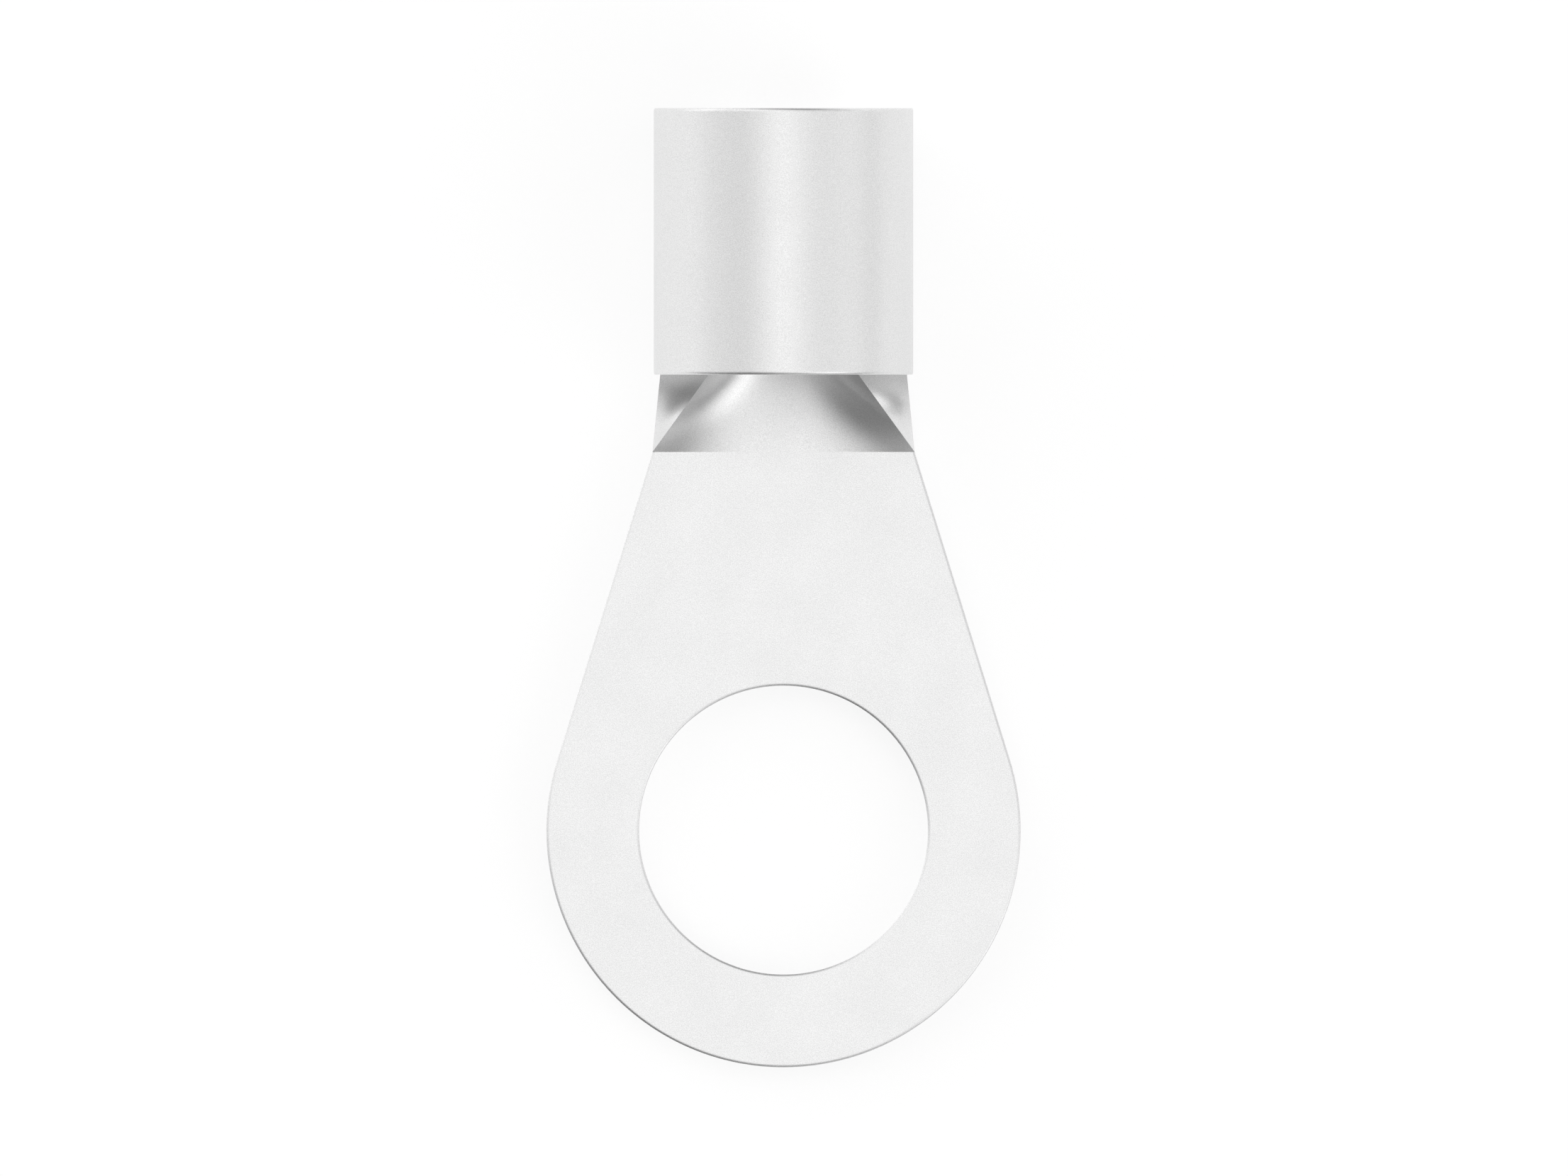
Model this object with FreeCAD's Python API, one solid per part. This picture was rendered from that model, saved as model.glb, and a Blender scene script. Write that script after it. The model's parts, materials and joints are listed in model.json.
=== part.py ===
import FreeCAD, Part

# Ring terminal, bare, stamped and rolled from one flat blank of tin-plated copper. All sizes are in
# millimetres. The origin is the centre of the stud hole on the flat underside. +Y runs along the terminal to
# the mouth of the wire barrel, and +Z points from the underside to the side that the nut bears on.

import math
import os

# Sheet. Near a cut edge its faces roll off in a narrow curve that meets the cut at 45 degrees.
STOCK_THICKNESS = 1.3
ROLL_WIDTH = 0.08

# Tongue, which goes over the stud
STUD_HOLE_DIAMETER = 8.4
TONGUE_WIDTH = 13.8
FOLD_TO_HOLE = 11.0

# Neck, the strip that curls up from the flat tongue into the barrel
NECK_WIDTH = 7.63
NECK_LENGTH = 2.25
NECK_EDGE_HEIGHT = 2.6

# Wire barrel, which is crimped on the conductor
BARREL_OUTER_DIAMETER = 7.55
BARREL_LENGTH = 7.75
ENTRY_BEVEL = 0.25

# Serrations, the shallow grooves across the barrel's inside that bite into the strands
SERRATION_COUNT = 3
SERRATION_PITCH = 1.7
SERRATION_WIDTH = 0.4
SERRATION_DEPTH = 0.12
SERRATION_WRAP_DEG = 300.0

# Worked out from the sizes above
OUTER_RADIUS = BARREL_OUTER_DIAMETER / 2
INNER_RADIUS = OUTER_RADIUS - STOCK_THICKNESS
AXIS_HEIGHT = OUTER_RADIUS
BARREL_FRONT = FOLD_TO_HOLE + NECK_LENGTH
BARREL_BACK = BARREL_FRONT + BARREL_LENGTH
ROLL_RADIUS = ROLL_WIDTH / math.sin(math.radians(45))
ROLL_DROP = ROLL_RADIUS - ROLL_WIDTH

# How a ruled face is laid: it joins its two edges start to start and end to end.
AS_DRAWN = 1

Y_AXIS = FreeCAD.Vector(0, 1, 0)
Z_AXIS = FreeCAD.Vector(0, 0, 1)
BARREL_AXIS_POINT = FreeCAD.Vector(0, 0, AXIS_HEIGHT)


def point(x, y, z=0.0):
    """A point in the part's own frame."""
    return FreeCAD.Vector(x, y, z)


def on_barrel(radius, degrees, y):
    """The point at this radius from the barrel's axis, turned this far from straight down towards +X."""
    turn = math.radians(degrees)
    return point(radius * math.sin(turn), y, AXIS_HEIGHT - radius * math.cos(turn))


def arc(start, middle, end):
    """A circular edge through three points."""
    return Part.Arc(start, middle, end).toShape()


def tongue_outline(spread):
    """The tongue's outline: a round end whose tangents run in to the neck's two corners.

    A spread moves it outwards, and makes it run on past the corners.
    """
    ring_radius = TONGUE_WIDTH / 2
    half_neck = NECK_WIDTH / 2
    corner_distance = math.hypot(half_neck, FOLD_TO_HOLE)
    corner_direction = math.atan2(FOLD_TO_HOLE, half_neck)
    turn = corner_direction - math.acos(ring_radius / corner_distance)
    run_on = 10 * spread
    taper_length = math.sqrt(corner_distance**2 - ring_radius**2) + run_on
    outwards = point(math.cos(turn), math.sin(turn))
    along = point(-math.sin(turn), math.cos(turn))
    right_tangent = (ring_radius + spread) * outwards
    right_corner = right_tangent + taper_length * along
    left_tangent = point(-right_tangent.x, right_tangent.y)
    left_corner = point(-right_corner.x, right_corner.y)
    return Part.Wire(
        [
            Part.makeLine(left_corner, left_tangent),
            arc(left_tangent, point(0, -ring_radius - spread), right_tangent),
            Part.makeLine(right_tangent, right_corner),
            Part.makeLine(right_corner, left_corner),
        ]
    )


def tongue_plate(spread, bottom, top):
    """The tongue as a plain plate with its stud hole, from one height to another."""
    hole = Part.Wire(Part.makeCircle(STUD_HOLE_DIAMETER / 2 - spread))
    face = Part.makeFace([tongue_outline(spread), hole], "Part::FaceMakerBullseye")
    face.translate(bottom * Z_AXIS)
    return face.extrude((top - bottom) * Z_AXIS)


def tongue():
    """The flat tongue: a slightly larger plate is rounded, and then cut to size through its rounding."""
    larger = tongue_plate(ROLL_DROP, 0, STOCK_THICKNESS)

    def is_rolled_edge(edge):
        box = edge.BoundBox
        lies_flat = box.ZLength < ROLL_DROP
        is_far_end = box.YMin > FOLD_TO_HOLE
        return lies_flat and not is_far_end

    rounded = larger.makeFillet(ROLL_RADIUS, [edge for edge in larger.Edges if is_rolled_edge(edge)])
    return rounded.common(tongue_plate(0, -STOCK_THICKNESS, 2 * STOCK_THICKNESS))


def neck_wrap(radius):
    """How far the neck wraps from straight down at this radius, in degrees, so that its ends are level."""
    return math.degrees(math.acos((AXIS_HEIGHT - NECK_EDGE_HEIGHT) / radius))


def curled_section(y):
    """The neck's section where it meets the barrel, as four edges: inside, right end, outside, left end."""
    inner_wrap, outer_wrap = neck_wrap(INNER_RADIUS), neck_wrap(OUTER_RADIUS)

    def around(radius, wrap):
        return arc(on_barrel(radius, -wrap, y), on_barrel(radius, 0, y), on_barrel(radius, wrap, y))

    def level_end(side):
        outer = on_barrel(OUTER_RADIUS, side * outer_wrap, y)
        inner = on_barrel(INNER_RADIUS, side * inner_wrap, y)
        return Part.makeLine(outer, inner)

    return [around(INNER_RADIUS, inner_wrap), level_end(1), around(OUTER_RADIUS, outer_wrap), level_end(-1)]


def flat_section(y):
    """The four edges of the neck's section where it meets the tongue, in the order of curled_section."""
    half = NECK_WIDTH / 2
    top = STOCK_THICKNESS
    return [
        Part.makeLine(point(-half, y, top), point(half, y, top)),
        Part.makeLine(point(half, y, 0), point(half, y, top)),
        Part.makeLine(point(-half, y, 0), point(half, y, 0)),
        Part.makeLine(point(-half, y, 0), point(-half, y, top)),
    ]


def neck():
    """The neck, whose straight lines join the flat section to the curled one.

    Its two cut edges twist from upright, where they leave the tongue, to level, where they meet the barrel.
    """
    flat, curled = flat_section(FOLD_TO_HOLE), curled_section(BARREL_FRONT)
    sides = [Part.makeRuledSurface(a, b, AS_DRAWN) for a, b in zip(flat, curled)]
    ends = [Part.Face(Part.Wire(Part.__sortEdges__(section))) for section in (flat, curled)]
    shell = Part.makeShell(sides + ends)
    shell.sewShape()
    twisted = Part.makeSolid(shell)
    if twisted.Volume < 0:
        twisted.reverse()
    # A short root of the curled section fills the barrel's rolled rim where the neck grows out of it.
    root = ends[1].extrude(2 * ROLL_WIDTH * Y_AXIS)
    return twisted, root


def rod(radius, start, end):
    """A round rod on the barrel's axis, from one distance along the terminal to another."""
    return Part.makeCylinder(radius, end - start, point(0, start, AXIS_HEIGHT), Y_AXIS)


def barrel():
    """The closed barrel: a slightly longer tube is rounded, cut to length, and bevelled at its mouth."""
    front, back = BARREL_FRONT - ROLL_DROP, BARREL_BACK + ROLL_DROP
    longer = rod(OUTER_RADIUS, front, back).cut(rod(INNER_RADIUS, front, back))

    def is_rolled_rim(edge):
        box = edge.BoundBox
        lies_across = box.YLength < ROLL_DROP
        is_mouth = box.YMin > BARREL_BACK and box.XMax < (INNER_RADIUS + OUTER_RADIUS) / 2
        return lies_across and not is_mouth

    rounded = longer.makeFillet(ROLL_RADIUS, [edge for edge in longer.Edges if is_rolled_rim(edge)])
    tube = rounded.common(rod(2 * OUTER_RADIUS, BARREL_FRONT, BARREL_BACK))
    # The bevel's cutter runs on past both ends of the bevel.
    narrow, wide = INNER_RADIUS - ENTRY_BEVEL, INNER_RADIUS + 2 * ENTRY_BEVEL
    start = point(0, BARREL_BACK - 2 * ENTRY_BEVEL, AXIS_HEIGHT)
    return tube.cut(Part.makeCone(narrow, wide, 3 * ENTRY_BEVEL, start, Y_AXIS))


def serration(y):
    """A cutter for one groove: a wedge turned round the barrel's inside, clear of where the blank closes."""
    # The wedge stands as far above the wall as it cuts into it, so there it is twice as wide as at the wall.
    wall = AXIS_HEIGHT - INNER_RADIUS
    left = point(0, y - SERRATION_WIDTH, wall + SERRATION_DEPTH)
    right = point(0, y + SERRATION_WIDTH, wall + SERRATION_DEPTH)
    tip = point(0, y, wall - SERRATION_DEPTH)
    wedge = Part.makePolygon([left, tip, right, left])
    start = Part.Face(wedge).rotate(BARREL_AXIS_POINT, Y_AXIS, -SERRATION_WRAP_DEG / 2)
    return start.revolve(BARREL_AXIS_POINT, Y_AXIS, SERRATION_WRAP_DEG)


def ring_terminal():
    """The whole terminal as one solid."""
    twisted, root = neck()
    body = tongue().multiFuse([twisted, root, barrel()]).removeSplitter()
    middle = (BARREL_FRONT + BARREL_BACK) / 2
    first = middle - SERRATION_PITCH * (SERRATION_COUNT - 1) / 2
    grooves = [serration(first + i * SERRATION_PITCH) for i in range(SERRATION_COUNT)]
    return body.cut(grooves)


def main():
    os.makedirs("parts", exist_ok=True)
    shape = ring_terminal()
    solid = shape.Solids[0]
    print(f"solids {len(shape.Solids)}, valid {shape.isValid()}, faces {len(solid.Faces)}")
    print(f"volume {solid.Volume:.2f} mm3")
    solid.exportStep("parts/ring_terminal.step")


main()
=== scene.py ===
"""A bare ring terminal of tin-plated copper, lying on a white table and seen from straight above.

Everything is in metres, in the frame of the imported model: the stud hole is centred on the origin, +Y runs
to the wire barrel and +Z is up. The terminal is made here as a press makes it. A blank is cut from flat
sheet, its barrel is coined and its edges are rolled, and then the neck and the barrel are curled.
"""

import json
import logging
import math
from collections.abc import Callable, Iterable
from dataclasses import dataclass
from enum import IntEnum
from typing import Any

import bmesh
import bpy
from mathutils import Matrix, Vector


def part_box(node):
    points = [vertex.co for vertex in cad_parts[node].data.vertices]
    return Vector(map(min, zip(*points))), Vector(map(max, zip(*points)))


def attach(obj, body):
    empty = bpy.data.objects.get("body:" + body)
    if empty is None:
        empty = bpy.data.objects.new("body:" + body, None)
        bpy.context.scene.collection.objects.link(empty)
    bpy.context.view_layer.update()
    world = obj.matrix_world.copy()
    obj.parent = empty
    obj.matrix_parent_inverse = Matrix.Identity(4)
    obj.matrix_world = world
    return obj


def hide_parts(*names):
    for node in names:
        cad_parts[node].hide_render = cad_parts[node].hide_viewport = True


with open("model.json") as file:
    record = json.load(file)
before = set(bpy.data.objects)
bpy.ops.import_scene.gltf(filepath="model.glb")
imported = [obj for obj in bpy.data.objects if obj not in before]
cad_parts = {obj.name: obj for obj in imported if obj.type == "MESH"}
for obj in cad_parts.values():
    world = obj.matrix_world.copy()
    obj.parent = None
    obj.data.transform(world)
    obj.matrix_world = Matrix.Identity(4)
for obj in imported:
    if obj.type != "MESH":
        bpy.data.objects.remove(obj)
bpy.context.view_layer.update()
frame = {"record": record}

log = logging.getLogger("ring_terminal")

MILLIMETRE = 0.001

# Places closer together than this count as one.
NEAR = 0.001 * MILLIMETRE

# How far a face's unit normal reaches up or down: at least this on a level face, and at most this on an
# upright one.
LEVEL_REACH = 0.99
UPRIGHT_REACH = 0.01

# A face of the flat blank that slopes more than this has the finish of a sheared edge.
SHEARED_SLOPE = math.radians(40)

# What Blender's operators call a grid one unit wide, and a bevel that follows an arc.
UNIT_GRID = 0.5
ARC_PROFILE = 0.5

# Most of a noise pattern lies between these values.
NOISE_LOW = 0.3
NOISE_HIGH = 0.7


class Finish(IntEnum):
    """The kinds of surface on the sheet, in the order of the piece's materials."""

    ROLLED_FACE = 0
    SHEARED_EDGE = 1


@dataclass(frozen=True)
class TerminalSizes:
    """What a drawing of the terminal gives, in metres.

    Attributes:
        hole_radius: Radius of the stud hole.
        ring_radius: Radius of the tongue's round end.
        stock: Thickness of the sheet.
        bore_radius: Inside radius of the barrel.
        axis_height: Height of the barrel's axis, which is its outside radius.
        barrel_front: Where the barrel starts, from the hole's centre.
        barrel_back: Where the barrel ends, at the mouth for the wire.
        fold: Where the flat tongue ends and the neck begins to curl.
        neck_width: Width of the sheet where the neck leaves the tongue.
        neck_edge_height: Height of the neck's cut edges where they meet the barrel and are level.
        roll_width: How far from a cut edge the sheet's faces begin to roll off.
        mouth_bevel: Width of the bevel inside the barrel's mouth.
        serration_count: How many grooves are coined across the barrel's inside.
        serration_pitch: From one groove to the next.
        serration_width: Width of a groove at the wall.
        serration_depth: Depth of a groove.
        serration_wrap: How far a groove runs round the bore, in degrees.
    """

    hole_radius: float
    ring_radius: float
    stock: float
    bore_radius: float
    axis_height: float
    barrel_front: float
    barrel_back: float
    fold: float = 11.0 * MILLIMETRE
    neck_width: float = 7.63 * MILLIMETRE
    neck_edge_height: float = 2.6 * MILLIMETRE
    roll_width: float = 0.08 * MILLIMETRE
    mouth_bevel: float = 0.25 * MILLIMETRE
    serration_count: int = 3
    serration_pitch: float = 1.7 * MILLIMETRE
    serration_width: float = 0.4 * MILLIMETRE
    serration_depth: float = 0.12 * MILLIMETRE
    serration_wrap: float = 300.0

    @classmethod
    def from_frame(cls) -> "TerminalSizes":
        """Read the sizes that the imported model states.

        Returns:
            The sizes, with the rest at their own values.
        """
        mounts = {mount["name"]: mount for mount in frame["record"]["mounts"]}
        stud, wire, top = mounts["stud_hole"], mounts["wire_barrel"], mounts["nut_face"]
        low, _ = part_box("ring_terminal")
        mouth = wire["pos_m"][1]
        return cls(
            hole_radius=stud["dims"]["r_mm"] * MILLIMETRE,
            ring_radius=-low.x,
            stock=top["pos_m"][2],
            bore_radius=wire["dims"]["r_mm"] * MILLIMETRE,
            axis_height=wire["pos_m"][2],
            barrel_front=mouth - wire["dims"]["length_mm"] * MILLIMETRE,
            barrel_back=mouth,
        )

    @property
    def half_neck(self) -> float:
        """Half of the neck's width."""
        return self.neck_width / 2

    @property
    def taper_lean(self) -> float:
        """How far the tongue's two straight tapers lean in from its length, in radians."""
        corner = Vector((self.half_neck, self.fold))
        return math.atan2(corner.y, corner.x) - math.acos(self.ring_radius / corner.length)

    @property
    def half_girth(self) -> float:
        """Half of the blank's width at the barrel, where the middle of the sheet keeps its length."""
        return math.pi * (self.axis_height - self.stock / 2)

    def turn(self, place: Vector) -> float:
        """How far round the barrel's axis the rolled blank takes a point, from straight down towards +X.

        Args:
            place: The point in the flat blank.

        Returns:
            The angle in radians.
        """
        neck_end = math.acos((self.axis_height - self.neck_edge_height) / (self.axis_height - place.z))
        reach = abs(place.x)
        if reach <= self.half_neck:
            angle = neck_end * reach / self.half_neck
        else:
            share = (reach - self.half_neck) / (self.half_girth - self.half_neck)
            angle = neck_end + share * (math.pi - neck_end)
        return math.copysign(angle, place.x)

    def rolled_height(self, height: float, rounding: float) -> float:
        """Press a point of a full rounding into the roll that the dies leave.

        The roll meets the cut at 45 degrees.

        Args:
            height: The point's height in the flat blank.
            rounding: Radius of the full rounding, which starts before the roll does.

        Returns:
            Its new height. Points between the roundings keep theirs.
        """
        if abs(height - self.stock / 2) < self.stock / 2 - rounding - NEAR:
            return height
        drop = min(max(0.0, min(height, self.stock - height)), rounding)
        reach = math.sqrt(rounding**2 - (rounding - drop) ** 2)
        along = max(0.0, reach - (rounding - self.roll_width))
        radius = self.roll_width * math.sqrt(2)
        rolled = radius - math.sqrt(radius**2 - along**2)
        return rolled if height < self.stock / 2 else self.stock - rolled

    def serration_places(self) -> list[float]:
        """Place the grooves.

        Returns:
            Where their middles lie along the terminal.
        """
        middle = (self.barrel_front + self.barrel_back) / 2
        first = middle - self.serration_pitch * (self.serration_count - 1) / 2
        return [first + i * self.serration_pitch for i in range(self.serration_count)]


@dataclass(frozen=True)
class Fineness:
    """How finely the blank is divided, so that its curves stay smooth.

    Attributes:
        half_neck_columns: Columns from the terminal's middle to each side of the neck.
        flap_columns: Columns in each of the barrel's flaps.
        neck_rows: Rows along the neck.
        round_steps: Steps round the tongue's end.
        taper_steps: Steps along each of the tongue's tapers.
        edge_rows: Rows through the sheet on the neck's sides.
        rounding_steps: Steps across an edge's roll.
        crease_degrees: A sharper turn than this stays a crease.
    """

    half_neck_columns: int = 26
    flap_columns: int = 39
    neck_rows: int = 18
    round_steps: int = 120
    taper_steps: int = 24
    edge_rows: int = 8
    rounding_steps: int = 6
    crease_degrees: float = 25.0


class RolledTerminal:
    """The whole terminal, made from one blank of sheet.

    Args:
        sizes: The terminal's sizes.
        fineness: How finely its mesh is divided.
    """

    def __init__(self, sizes: TerminalSizes, fineness: Fineness = Fineness()) -> None:
        """Start with an empty mesh."""
        self.sizes = sizes
        self.fineness = fineness
        self.mesh = bmesh.new()

    def build(self, materials: Iterable[bpy.types.Material]) -> bpy.types.Object:
        """Take the blank through every step of the press.

        Args:
            materials: One material for each member of Finish, in order.

        Returns:
            The finished terminal, riding on the model's root body.
        """
        self.cut_strip()
        self.cut_tongue()
        self.give_thickness()
        self.open_seam()
        self.divide_neck_edges()
        self.coin_serrations()
        self.roll_edges()
        self.sort_finishes()
        self.keep_flat_places()
        self.mark_fold_lines()
        self.curl()
        self.close_seam()
        return self.as_piece(materials)

    def edges_where(self, test: Callable[[Vector, Vector], bool]) -> list[bmesh.types.BMEdge]:
        """Find edges by their two ends.

        Args:
            test: Says whether an edge with these ends is wanted.

        Returns:
            The edges that pass.
        """
        return [edge for edge in self.mesh.edges if test(edge.verts[0].co, edge.verts[1].co)]

    def cut_rectangle(
        self, left: float, right: float, near: float, far: float, columns: int, rows: int
    ) -> None:
        """Lay an evenly divided rectangle of the blank.

        Args:
            left: Its lowest X.
            right: Its highest X.
            near: Its lowest Y.
            far: Its highest Y.
            columns: Divisions along X.
            rows: Divisions along Y.
        """
        centre = Matrix.Translation(((left + right) / 2, (near + far) / 2, 0))
        stretch = Matrix.Diagonal((right - left, far - near, 1, 1))
        bmesh.ops.create_grid(
            self.mesh, x_segments=columns, y_segments=rows, size=UNIT_GRID, matrix=centre @ stretch
        )

    def cut_strip(self) -> None:
        """Lay the neck, the strip behind it and the two flaps that will meet round the wire."""
        s, f = self.sizes, self.fineness
        middle = 2 * f.half_neck_columns
        self.cut_rectangle(-s.half_neck, s.half_neck, s.fold, s.barrel_front, middle, f.neck_rows)
        self.cut_rectangle(-s.half_neck, s.half_neck, s.barrel_front, s.barrel_back, middle, 1)
        self.cut_rectangle(-s.half_girth, -s.half_neck, s.barrel_front, s.barrel_back, f.flap_columns, 1)
        self.cut_rectangle(s.half_neck, s.half_girth, s.barrel_front, s.barrel_back, f.flap_columns, 1)
        self.weld()

    def cut_tongue(self) -> None:
        """Lay the tongue: a round end, straight tapers from it to the neck, and the stud hole."""
        s, f = self.sizes, self.fineness
        lean = s.taper_lean
        start = self.mesh.verts.new((-s.ring_radius * math.cos(lean), s.ring_radius * math.sin(lean), 0))
        sweep = math.pi + 2 * lean
        bmesh.ops.spin(self.mesh, geom=[start], axis=(0, 0, 1), angle=sweep, steps=f.round_steps)
        ends = [vert for vert in self.mesh.verts if len(vert.link_edges) == 1]
        tapers = bmesh.ops.extrude_vert_indiv(self.mesh, verts=ends)
        for vert in tapers["verts"]:
            vert.co = (math.copysign(s.half_neck, vert.co.x), s.fold, 0)
        bmesh.ops.subdivide_edges(self.mesh, edges=tapers["edges"], cuts=f.taper_steps - 1)
        self.weld()
        outline = [edge for edge in self.mesh.edges if edge.is_wire]
        outline += self.edges_where(lambda a, b: abs(a.y - s.fold) < NEAR and abs(b.y - s.fold) < NEAR)
        inward = bmesh.ops.extrude_edge_only(self.mesh, edges=outline)
        for vert in inward["geom"]:
            if isinstance(vert, bmesh.types.BMVert):
                vert.co = vert.co.normalized() * s.hole_radius

    def weld(self) -> None:
        """Join vertices that lie in one place."""
        bmesh.ops.remove_doubles(self.mesh, verts=self.mesh.verts[:], dist=NEAR)

    def give_thickness(self) -> None:
        """Raise the blank to the thickness of the sheet, with its underside on the table."""
        raised = bmesh.ops.extrude_face_region(self.mesh, geom=self.mesh.faces[:], use_keep_orig=True)
        top = [item for item in raised["geom"] if isinstance(item, bmesh.types.BMVert)]
        bmesh.ops.translate(self.mesh, verts=top, vec=(0, 0, self.sizes.stock))
        bmesh.ops.recalc_face_normals(self.mesh, faces=self.mesh.faces[:])

    def open_seam(self) -> None:
        """Take away the flaps' outer ends, which the rolled barrel brings together to be brazed."""
        reach = self.sizes.half_girth - NEAR
        ends = [face for face in self.mesh.faces if all(abs(vert.co.x) > reach for vert in face.verts)]
        bmesh.ops.delete(self.mesh, geom=ends, context="FACES")

    def divide_neck_edges(self) -> None:
        """Divide the neck's two cut edges through the sheet, because they twist as it curls."""
        s = self.sizes

        def crosses_sheet(a: Vector, b: Vector) -> bool:
            """Whether an edge with these ends runs through the sheet on one of the neck's sides."""
            on_side = abs(abs(a.x) - s.half_neck) < NEAR and abs(a.x - b.x) < NEAR and abs(a.y - b.y) < NEAR
            return on_side and s.fold - NEAR < a.y < s.barrel_front + NEAR and abs(a.z - b.z) > NEAR

        crossing = self.edges_where(crosses_sheet)
        cuts = self.fineness.edge_rows - 1
        bmesh.ops.subdivide_edges(self.mesh, edges=crossing, cuts=cuts, use_grid_fill=True)

    def coin_serrations(self) -> None:
        """Press the grooves into the side of the sheet that becomes the barrel's inside."""
        s = self.sizes
        half_width = s.serration_width / 2
        for place in s.serration_places():
            for line in (place - half_width, place, place + half_width):
                upper = [face for face in self.mesh.faces if self.is_barrel_inside(face)]
                parts = dict.fromkeys(part for face in upper for part in (face, *face.edges, *face.verts))
                bmesh.ops.bisect_plane(
                    self.mesh, geom=list(parts), dist=NEAR, plane_co=(0, line, 0), plane_no=(0, 1, 0)
                )
        bottoms = [
            vert
            for vert in self.mesh.verts
            if vert.co.z > s.stock - NEAR
            and abs(s.turn(vert.co)) < math.radians(s.serration_wrap / 2)
            and any(abs(vert.co.y - place) < NEAR for place in s.serration_places())
        ]
        bmesh.ops.translate(self.mesh, verts=bottoms, vec=(0, 0, -s.serration_depth))

    def is_barrel_inside(self, face: bmesh.types.BMFace) -> bool:
        """Whether a face of the blank will line the barrel."""
        s = self.sizes
        return all(vert.co.z > s.stock / 2 and vert.co.y > s.barrel_front - NEAR for vert in face.verts)

    def roll_edges(self) -> None:
        """Bevel the barrel's mouth and roll the edges that the dies leave, but not the neck's sides.

        The rounding's first step stays level, so that the wide faces beside it keep their level normals.
        """
        s, f = self.sizes, self.fineness

        def on_mouth(a: Vector, b: Vector) -> bool:
            """Whether an edge with these ends goes round the inside of the barrel's mouth."""
            return min(a.y, b.y) > s.barrel_back - NEAR and min(a.z, b.z) > s.stock - NEAR

        self.bevel(self.edges_where(on_mouth), s.mouth_bevel, 1)
        square = [edge for edge in self.mesh.edges if self.is_square_edge(edge)]
        rounding = s.roll_width / (1 - math.sin(math.pi / 2 / f.rounding_steps))
        self.bevel(square, rounding, f.rounding_steps)
        for vert in self.mesh.verts:
            vert.co.z = s.rolled_height(vert.co.z, rounding)
        self.square_neck_ends(rounding)

    def square_neck_ends(self, rounding: float) -> None:
        """Give the neck its full section from the tongue to the barrel, and let the rolls run up to it.

        Args:
            rounding: Radius of the full roundings, which end inside the neck or short of the fold.
        """
        s = self.sizes
        fold, front = s.fold, s.barrel_front
        for vert in self.mesh.verts:
            place = vert.co
            short = fold - place.y
            on_face = min(place.z, s.stock - place.z) < NEAR
            if NEAR < short < 2 * rounding:
                # An end of the tongue's roll, which runs on along the taper.
                place.x -= math.copysign(short * math.tan(s.taper_lean), place.x)
                place.y = fold
            elif on_face and abs(short) < NEAR and abs(abs(place.x) + rounding - s.half_neck) < NEAR:
                # The place on the fold line that meets this end's level side.
                place.x = math.copysign(s.half_neck - rounding / math.cos(s.taper_lean), place.x)
            elif on_face and abs(abs(place.x) - s.half_neck) < NEAR:
                # An end that reached into the neck, which goes back to its line.
                for line, start in ((fold, fold + rounding), (front, front - rounding)):
                    if abs(place.y - start) < NEAR:
                        place.y = line
        self.weld()

    def bevel(self, edges: list[bmesh.types.BMEdge], width: float, segments: int) -> None:
        """Bevel or round some edges.

        Args:
            edges: The edges.
            width: How far the cut reaches along the faces beside the edge.
            segments: Flats in the rounding; one makes a plain bevel.
        """
        bmesh.ops.bevel(
            self.mesh,
            geom=edges,
            offset=width,
            offset_type="OFFSET",
            affect="EDGES",
            segments=segments,
            profile=ARC_PROFILE,
            clamp_overlap=False,
            material=-1,
        )

    def is_square_edge(self, edge: bmesh.types.BMEdge) -> bool:
        """Whether an edge lies between a face of the sheet and a cut edge, and gets rolled.

        Args:
            edge: An edge of the flat blank.

        Returns:
            True where it does, except along the neck's sides.
        """
        s = self.sizes
        if len(edge.link_faces) != 2:
            return False
        low, high = sorted(abs(face.normal.z) for face in edge.link_faces)
        on_neck = all(
            abs(abs(vert.co.x) - s.half_neck) < NEAR and s.fold - NEAR < vert.co.y < s.barrel_front + NEAR
            for vert in edge.verts
        )
        return low < UPRIGHT_REACH and high > LEVEL_REACH and not on_neck

    def sort_finishes(self) -> None:
        """Tell the rolled faces of the sheet from its sheared edges."""
        for face in self.mesh.faces:
            steep = abs(face.normal.z) < math.cos(SHEARED_SLOPE)
            face.material_index = Finish.SHEARED_EDGE if steep else Finish.ROLLED_FACE

    def keep_flat_places(self) -> None:
        """Note where each corner lies in the flat blank, for patterns that follow the sheet."""
        layer = self.mesh.loops.layers.float_vector.new("flat_place")
        for face in self.mesh.faces:
            for loop in face.loops:
                loop[layer] = loop.vert.co

    def mark_fold_lines(self) -> None:
        """Keep the two lines crisp where the neck leaves the tongue and where it enters the barrel."""
        s = self.sizes

        def on_line(a: Vector, b: Vector) -> bool:
            """Whether an edge with these ends lies on one of the two lines."""
            in_neck = max(abs(a.x), abs(b.x)) < s.half_neck + NEAR
            return in_neck and any(max(abs(a.y - y), abs(b.y - y)) < NEAR for y in (s.fold, s.barrel_front))

        for edge in self.edges_where(on_line):
            edge.smooth = False

    def curl(self) -> None:
        """Roll the barrel round its axis. The neck's straight lines join its curl to the flat tongue."""
        s = self.sizes
        for vert in self.mesh.verts:
            share = (vert.co.y - s.fold) / (s.barrel_front - s.fold)
            if share > 0:
                turn, radius = s.turn(vert.co), s.axis_height - vert.co.z
                height = s.axis_height - radius * math.cos(turn)
                rolled = Vector((radius * math.sin(turn), vert.co.y, height))
                vert.co = vert.co.lerp(rolled, min(share, 1.0))

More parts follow.
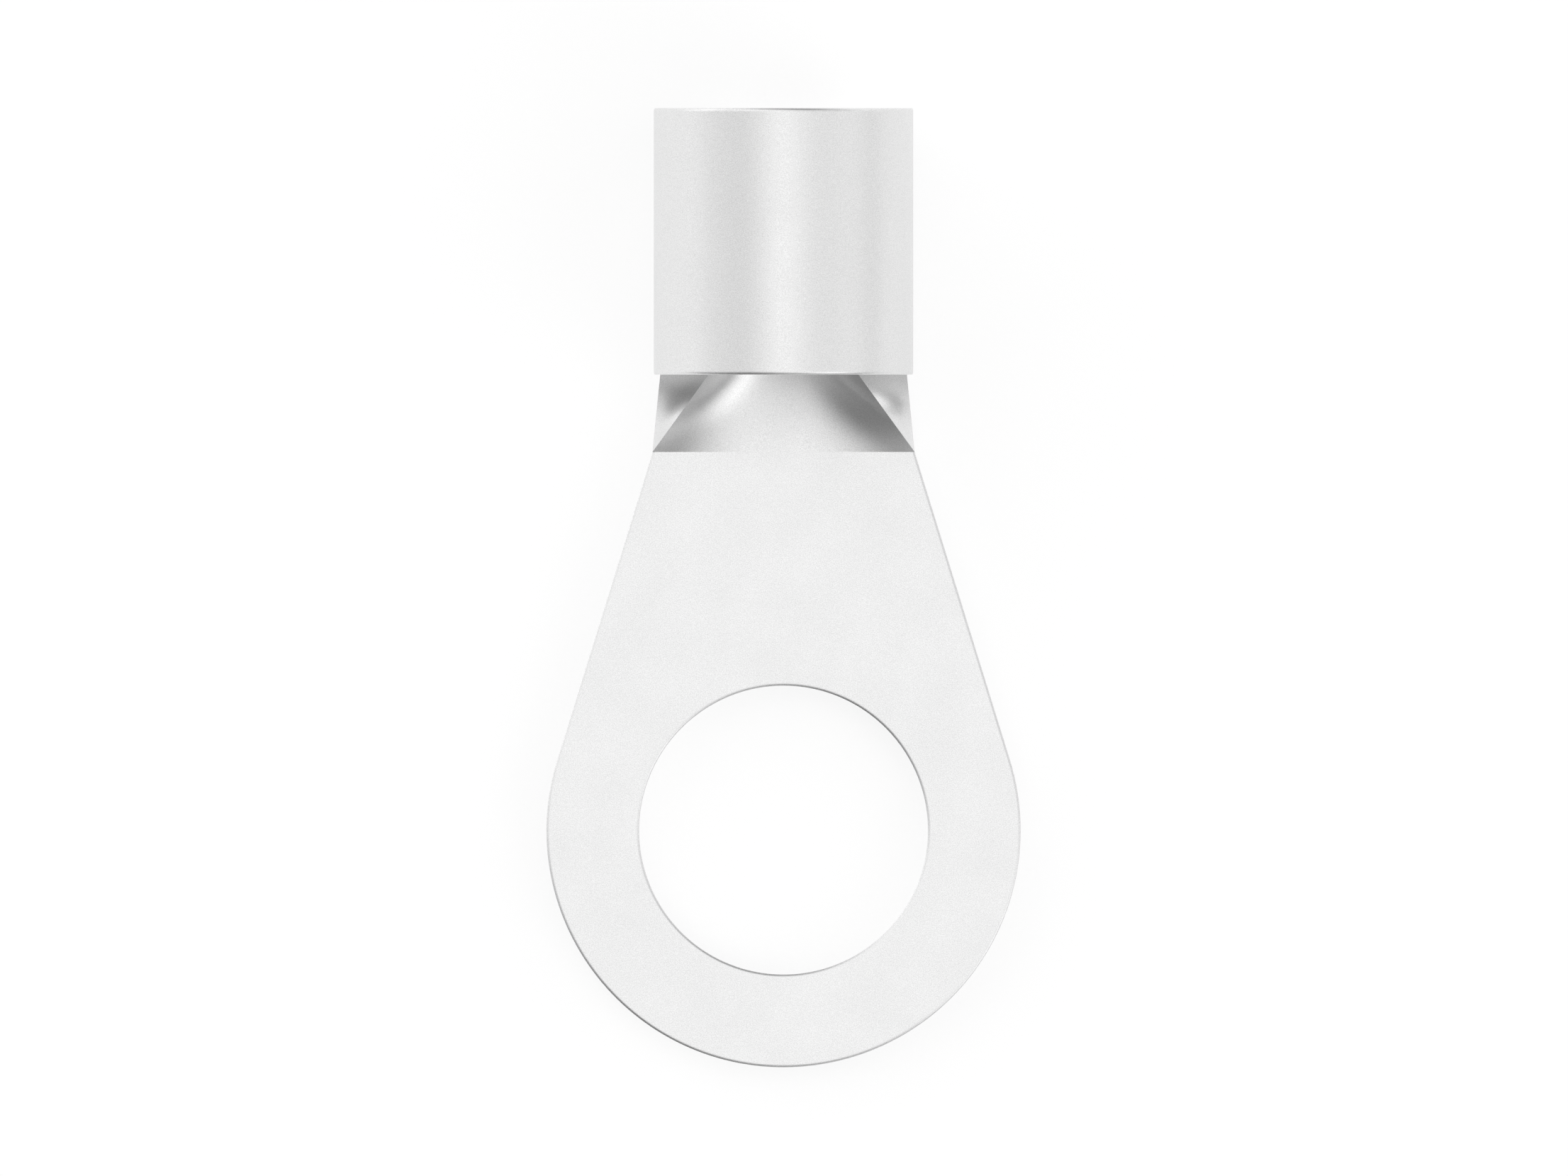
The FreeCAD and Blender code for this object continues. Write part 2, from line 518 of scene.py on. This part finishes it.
    def close_seam(self) -> None:
        """Join the flaps where they meet, and tell creases from smooth turns."""
        rim = [vert for vert in self.mesh.verts if vert.is_boundary]
        bmesh.ops.remove_doubles(self.mesh, verts=rim, dist=NEAR)
        bmesh.ops.recalc_face_normals(self.mesh, faces=self.mesh.faces[:])
        crease = math.radians(self.fineness.crease_degrees)
        for edge in self.mesh.edges:
            if edge.calc_face_angle(0.0) > crease:
                edge.smooth = False
        for face in self.mesh.faces:
            face.smooth = True

    def as_piece(self, materials: Iterable[bpy.types.Material]) -> bpy.types.Object:
        """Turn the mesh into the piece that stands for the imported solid.

        Args:
            materials: One material for each member of Finish, in order.

        Returns:
            The piece.
        """
        data = bpy.data.meshes.new("rolled_terminal")
        self.mesh.to_mesh(data)
        self.mesh.free()
        for material in materials:
            data.materials.append(material)
        piece = bpy.data.objects.new("rolled_terminal", data)
        bpy.context.scene.collection.objects.link(piece)
        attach(piece, "root")
        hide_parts("ring_terminal")
        return piece


def direction(azimuth: float, elevation: float) -> Vector:
    """The unit vector towards a point of the sky.

    Args:
        azimuth: Degrees from +X towards +Y.
        elevation: Degrees above the table.

    Returns:
        The direction, pointing away from the object.
    """
    turn, rise = math.radians(azimuth), math.radians(elevation)
    return Vector((math.cos(turn) * math.cos(rise), math.sin(turn) * math.cos(rise), math.sin(rise)))


class Bench:
    """Lays out the nodes of one shader.

    Args:
        tree: The node tree to fill. What it holds is cleared.
    """

    def __init__(self, tree: bpy.types.NodeTree) -> None:
        """Clear the tree."""
        self.tree = tree
        tree.nodes.clear()

    def put(self, kind: str, inputs: dict[str | int, Any] | None = None, **settings: Any) -> bpy.types.Node:
        """Add a node.

        Args:
            kind: Blender's name for it, without the leading `ShaderNode`.
            inputs: For an input's name or place, the socket to join to it or the value to set.
            **settings: The node's own settings.

        Returns:
            The node.
        """
        node = self.tree.nodes.new(f"ShaderNode{kind}")
        for name, value in settings.items():
            setattr(node, name, value)
        for name, value in (inputs or {}).items():
            if isinstance(value, bpy.types.NodeSocket):
                self.tree.links.new(value, node.inputs[name])
            else:
                node.inputs[name].default_value = value
        return node

    def sum(self, operation: str, first: Any, second: Any) -> bpy.types.NodeSocket:
        """Do one sum with two numbers, each a socket or a value."""
        return self.put("Math", {0: first, 1: second}, operation=operation).outputs[0]

    def noise(self, place: bpy.types.NodeSocket, size: float, detail: float = 2.0) -> bpy.types.NodeSocket:
        """Add a soft random pattern, from 0 to 1.

        Args:
            place: Where on the piece.
            size: How large its blotches are, in metres.
            detail: How many finer layers it has.

        Returns:
            The pattern's socket.
        """
        return self.put("TexNoise", {"Vector": place, "Scale": 1 / size, "Detail": detail}).outputs["Fac"]

    def spread(self, pattern: bpy.types.NodeSocket, low: float, high: float) -> bpy.types.NodeSocket:
        """Stretch the usual range of a noise pattern over the values from low to high."""
        usual = {"Value": pattern, "From Min": NOISE_LOW, "From Max": NOISE_HIGH}
        return self.put("MapRange", {**usual, "To Min": low, "To Max": high}).outputs["Result"]

    def bump(
        self, height: bpy.types.NodeSocket, under: bpy.types.NodeSocket | None = None
    ) -> bpy.types.NodeSocket:
        """Shade the surface as if it had this relief.

        Args:
            height: The relief's height in metres.
            under: The normal of a coarser or finer relief that it adds to, where there is one.

        Returns:
            The normal's socket.
        """
        inputs = {"Height": height, "Distance": 1.0}
        if under is not None:
            inputs["Normal"] = under
        return self.put("Bump", inputs).outputs["Normal"]


def fresh_material(name: str) -> tuple[bpy.types.Material, Bench]:
    """Make a material that has no shader yet.

    Args:
        name: Its name.

    Returns:
        The material, and the bench to lay its shader out on.
    """
    material = bpy.data.materials.new(name)
    material.use_nodes = True
    return material, Bench(material.node_tree)


@dataclass(frozen=True)
class Glow:
    """A soft patch of the sky that adds light, or takes some away.

    Attributes:
        azimuth: Where its middle is, in degrees from +X towards +Y.
        elevation: How high its middle is, in degrees.
        reach: Degrees from its middle to where it has faded out.
        gain: How much it adds in its middle.
    """

    azimuth: float
    elevation: float
    reach: float
    gain: float


@dataclass(frozen=True)
class StudioSky:
    """The soft surroundings that the metal mirrors: a pale tent with lighter and darker patches.

    Attributes:
        level: How bright the tent is where no patch reaches, and where one takes light away.
        white: How bright it is below the table's level, where it goes on as white as the table.
        horizon: How far down it fades into that white, as the drop of a line of sight one unit long.
        patches: The lighter and darker patches, which add up.
    """

    level: float = 0.10
    white: float = 1.0
    horizon: float = 0.02
    patches: tuple[Glow, ...] = (
        # The main light, high beyond the mouth on the right, with a dimmer middle
        Glow(azimuth=45, elevation=45, reach=90, gain=1.15),
        Glow(azimuth=35, elevation=45, reach=40, gain=-0.55),
        # A dark place straight beyond the mouth
        Glow(azimuth=85, elevation=35, reach=40, gain=-0.80),
        # Two low ones beyond the mouth on the left
        Glow(azimuth=155, elevation=-5, reach=40, gain=0.75),
        Glow(azimuth=150, elevation=15, reach=60, gain=0.70),
        # Two small ones past the ring, which streak the neck
        Glow(azimuth=320, elevation=35, reach=25, gain=0.90),
        Glow(azimuth=280, elevation=15, reach=25, gain=0.65),
        # A high faint one past the ring on the left, with a dark place in it
        Glow(azimuth=210, elevation=55, reach=55, gain=0.35),
        Glow(azimuth=230, elevation=45, reach=25, gain=-0.35),
    )

    def build(self) -> None:
        """Make the world's shader."""
        world = bpy.data.worlds.new("studio_sky")
        world.use_nodes = True
        bpy.context.scene.world = world
        bench = Bench(world.node_tree)
        ray = bench.put("TexCoord").outputs["Generated"]
        light: bpy.types.NodeSocket | float = self.level
        for patch in self.patches:
            towards = {0: ray, 1: direction(patch.azimuth, patch.elevation)}
            limits = {
                "Value": bench.put("VectorMath", towards, operation="DOT_PRODUCT").outputs["Value"],
                "From Min": math.cos(math.radians(patch.reach)),
                "From Max": 1.0,
                "To Max": patch.gain,
            }
            added = bench.put("MapRange", limits, interpolation_type="SMOOTHERSTEP").outputs["Result"]
            light = bench.sum("ADD", added, light)
        light = bench.sum("MAXIMUM", light, self.level)
        height = bench.put("SeparateXYZ", {0: ray}).outputs["Z"]
        fade = {"Value": height, "From Min": -self.horizon, "From Max": 0.0}
        above = bench.put("MapRange", fade).outputs["Result"]
        strength = bench.put("Mix", {"Factor": above, "A": self.white, "B": light}).outputs["Result"]
        background = bench.put("Background", {"Color": (1, 1, 1, 1), "Strength": strength})
        bench.put("OutputWorld", {"Surface": background.outputs[0]})


@dataclass(frozen=True)
class Table:
    """The plain white table top, which keeps a soft shadow.

    Attributes:
        half_size: Half of its width, in metres.
        grey: How much of the light on it it scatters.
        lift: What it adds for whoever looks at it, in the picture and in the metal, so that it is white.
    """

    half_size: float = 1.2
    grey: float = 0.35
    lift: float = 0.74

    def build(self) -> bpy.types.Object:
        """Make the table top and its material.

        Returns:
            The table top's object.
        """
        sheet = bmesh.new()
        bmesh.ops.create_grid(sheet, x_segments=1, y_segments=1, size=self.half_size)
        mesh = bpy.data.meshes.new("table_top")
        sheet.to_mesh(mesh)
        sheet.free()
        mesh.materials.append(self.white())
        top = bpy.data.objects.new("table_top", mesh)
        bpy.context.scene.collection.objects.link(top)
        return top

    def white(self) -> bpy.types.Material:
        """Make the table top's material.

        Returns:
            The material.
        """
        material, bench = fresh_material("table_white")
        matt = bench.put("BsdfDiffuse", {"Color": (self.grey, self.grey, self.grey, 1)}).outputs[0]
        lift = bench.put("Emission", {"Strength": self.lift}).outputs[0]
        white = bench.put("AddShader", {0: matt, 1: lift}).outputs[0]
        ray = bench.put("LightPath").outputs
        looks = bench.sum("MAXIMUM", ray["Is Camera Ray"], ray["Is Glossy Ray"])
        looks = bench.sum("MAXIMUM", looks, ray["Is Transmission Ray"])
        surface = bench.put("MixShader", {0: looks, 1: matt, 2: white})
        bench.put("OutputMaterial", {"Surface": surface.outputs[0]})
        return material


@dataclass(frozen=True)
class TinPlating:
    """What all of the terminal's surfaces share: satin tin with a fine even grain and faint clouds.

    Attributes:
        grey: The plating's colour, which is neutral.
        cloud_shade: How much lighter and darker the clouds are, as a share of the colour.
        cloud_size: How large the clouds are, in metres.
        cloud_satin: How much the clouds change the roughness.
        grain_size: How large the grains are, in metres.
        grain_height: How high they stand, in metres.
        grain_shade: How much lighter and darker they are, as a share of the colour.
    """

    grey: float = 0.82
    cloud_shade: float = 0.004
    cloud_size: float = 1.6 * MILLIMETRE
    cloud_satin: float = 0.01
    grain_size: float = 0.024 * MILLIMETRE
    grain_height: float = 0.0022 * MILLIMETRE
    grain_shade: float = 0.115

    def build(self) -> bpy.types.NodeTree:
        """Make the shader group that every finish uses.

        Returns:
            The group. It takes a place and a roughness, and gives a colour, a roughness and a height, which
            is in metres.
        """
        group = bpy.data.node_groups.new("tin_plating", "ShaderNodeTree")
        bench = Bench(group)
        for name, side, kind in (
            ("Place", "INPUT", "NodeSocketVector"),
            ("Satin", "INPUT", "NodeSocketFloat"),
            ("Colour", "OUTPUT", "NodeSocketColor"),
            ("Roughness", "OUTPUT", "NodeSocketFloat"),
            ("Height", "OUTPUT", "NodeSocketFloat"),
        ):
            group.interface.new_socket(name=name, in_out=side, socket_type=kind)
        given = group.nodes.new("NodeGroupInput")
        clouds = bench.noise(given.outputs["Place"], self.cloud_size)
        grain = bench.noise(given.outputs["Place"], self.grain_size, detail=1.0)
        tone = bench.spread(clouds, self.grey * (1 - self.cloud_shade), self.grey * (1 + self.cloud_shade))
        shade = bench.sum("MULTIPLY", tone, bench.spread(grain, 1 - self.grain_shade, 1 + self.grain_shade))
        polish = bench.spread(clouds, self.cloud_satin, -self.cloud_satin)
        satin = bench.sum("ADD", given.outputs["Satin"], polish)
        height = bench.sum("MULTIPLY", grain, self.grain_height)
        result = group.nodes.new("NodeGroupOutput")
        for name, socket in (("Colour", shade), ("Roughness", satin), ("Height", height)):
            group.links.new(socket, result.inputs[name])
        return group


def plate(
    bench: Bench, plating: bpy.types.NodeTree, satin: Any, scratches: bpy.types.NodeSocket | None = None
) -> None:
    """Lay out the shader of metal with the tin plating on it.

    Args:
        bench: The material's bench.
        plating: The shared shader group.
        satin: How rough the metal is, as a socket or a value.
        scratches: The height of the marks in the metal, in metres, where it has any.
    """
    place = bench.put("TexCoord").outputs["Object"]
    tin = bench.put("Group", {"Place": place, "Satin": satin}, node_tree=plating).outputs
    normal = bench.bump(tin["Height"])
    if scratches is not None:
        normal = bench.bump(scratches, under=normal)
    look = {"Base Color": tin["Colour"], "Metallic": 1.0, "Roughness": tin["Roughness"], "Normal": normal}
    shader = bench.put("BsdfPrincipled", look)
    bench.put("OutputMaterial", {"Surface": shader.outputs[0]})


@dataclass(frozen=True)
class RolledFace:
    """The two faces of the sheet, as the rolls and the plating bath leave them.

    Attributes:
        roughness: How rough they are.
    """

    roughness: float = 0.36

    def build(self, plating: bpy.types.NodeTree) -> bpy.types.Material:
        """Make the material.

        Args:
            plating: The shared shader group.

        Returns:
            The material.
        """
        material, bench = fresh_material("rolled_tin")
        plate(bench, plating, self.roughness)
        return material


@dataclass(frozen=True)
class ShearedEdge:
    """The edges that the blanking die cuts: a burnished band and then a slightly rougher torn one.

    Attributes:
        stock: Thickness of the sheet, in metres.
        burnished: Roughness of the smooth band, next to the underside.
        torn: Roughness of the torn band, next to the top.
        burnished_to: Where the burnished band ends, as a share of the thickness from the underside.
        torn_from: Where the torn band starts, measured in the same way.
        streak_size: How wide the die's scratches are, which run through the sheet, in metres.
        streak_run: How many times as long as wide they are.
        streak_height: How deep they are, in metres.
    """

    stock: float
    burnished: float = 0.35
    torn: float = 0.40
    burnished_to: float = 0.25
    torn_from: float = 0.50
    streak_size: float = 0.06 * MILLIMETRE
    streak_run: float = 20.0
    streak_height: float = 0.0006 * MILLIMETRE

    def build(self, plating: bpy.types.NodeTree) -> bpy.types.Material:
        """Make the material.

        Args:
            plating: The shared shader group.

        Returns:
            The material.
        """
        material, bench = fresh_material("sheared_tin")
        flat = bench.put("Attribute", attribute_name="flat_place").outputs["Vector"]
        bands = {
            "Value": bench.put("SeparateXYZ", {0: flat}).outputs["Z"],
            "From Min": self.burnished_to * self.stock,
            "From Max": self.torn_from * self.stock,
            "To Min": self.burnished,
            "To Max": self.torn,
        }
        satin = bench.put("MapRange", bands).outputs["Result"]
        drawn_out = {0: flat, 1: (1.0, 1.0, 1 / self.streak_run)}
        along = bench.put("VectorMath", drawn_out, operation="MULTIPLY").outputs[0]
        scratches = bench.sum("MULTIPLY", bench.noise(along, self.streak_size), self.streak_height)
        plate(bench, plating, satin, scratches)
        return material


@dataclass(frozen=True)
class OverheadCamera:
    """A camera with parallel rays that looks straight down, with +Y up the picture.

    Attributes:
        picture_width: How much of the table the picture's width shows, in metres.
        centre: X and Y of the picture's middle.
        height: How high the camera is, in metres.
    """

    picture_width: float = 45.61 * MILLIMETRE
    centre: tuple[float, float] = (0.013 * MILLIMETRE, 7.043 * MILLIMETRE)
    height: float = 0.25

    def build(self) -> None:
        """Make the camera and look through it."""
        data = bpy.data.cameras.new("overhead")
        data.type = "ORTHO"
        data.ortho_scale = self.picture_width
        camera = bpy.data.objects.new("overhead", data)
        camera.location = (*self.centre, self.height)
        bpy.context.scene.collection.objects.link(camera)
        bpy.context.scene.camera = camera


def main() -> None:
    """Build the scene round the terminal."""
    logging.basicConfig(level=logging.INFO)
    bpy.context.scene.view_settings.view_transform = "Standard"
    OverheadCamera().build()
    StudioSky().build()
    Table().build()
    sizes = TerminalSizes.from_frame()
    plating = TinPlating().build()
    finishes = {
        Finish.ROLLED_FACE: RolledFace().build(plating),
        Finish.SHEARED_EDGE: ShearedEdge(stock=sizes.stock).build(plating),
    }
    terminal = RolledTerminal(sizes).build([finishes[finish] for finish in Finish])
    log.info("made %s with %d faces", terminal.name, len(terminal.data.polygons))


if __name__ == "__main__":
    main()
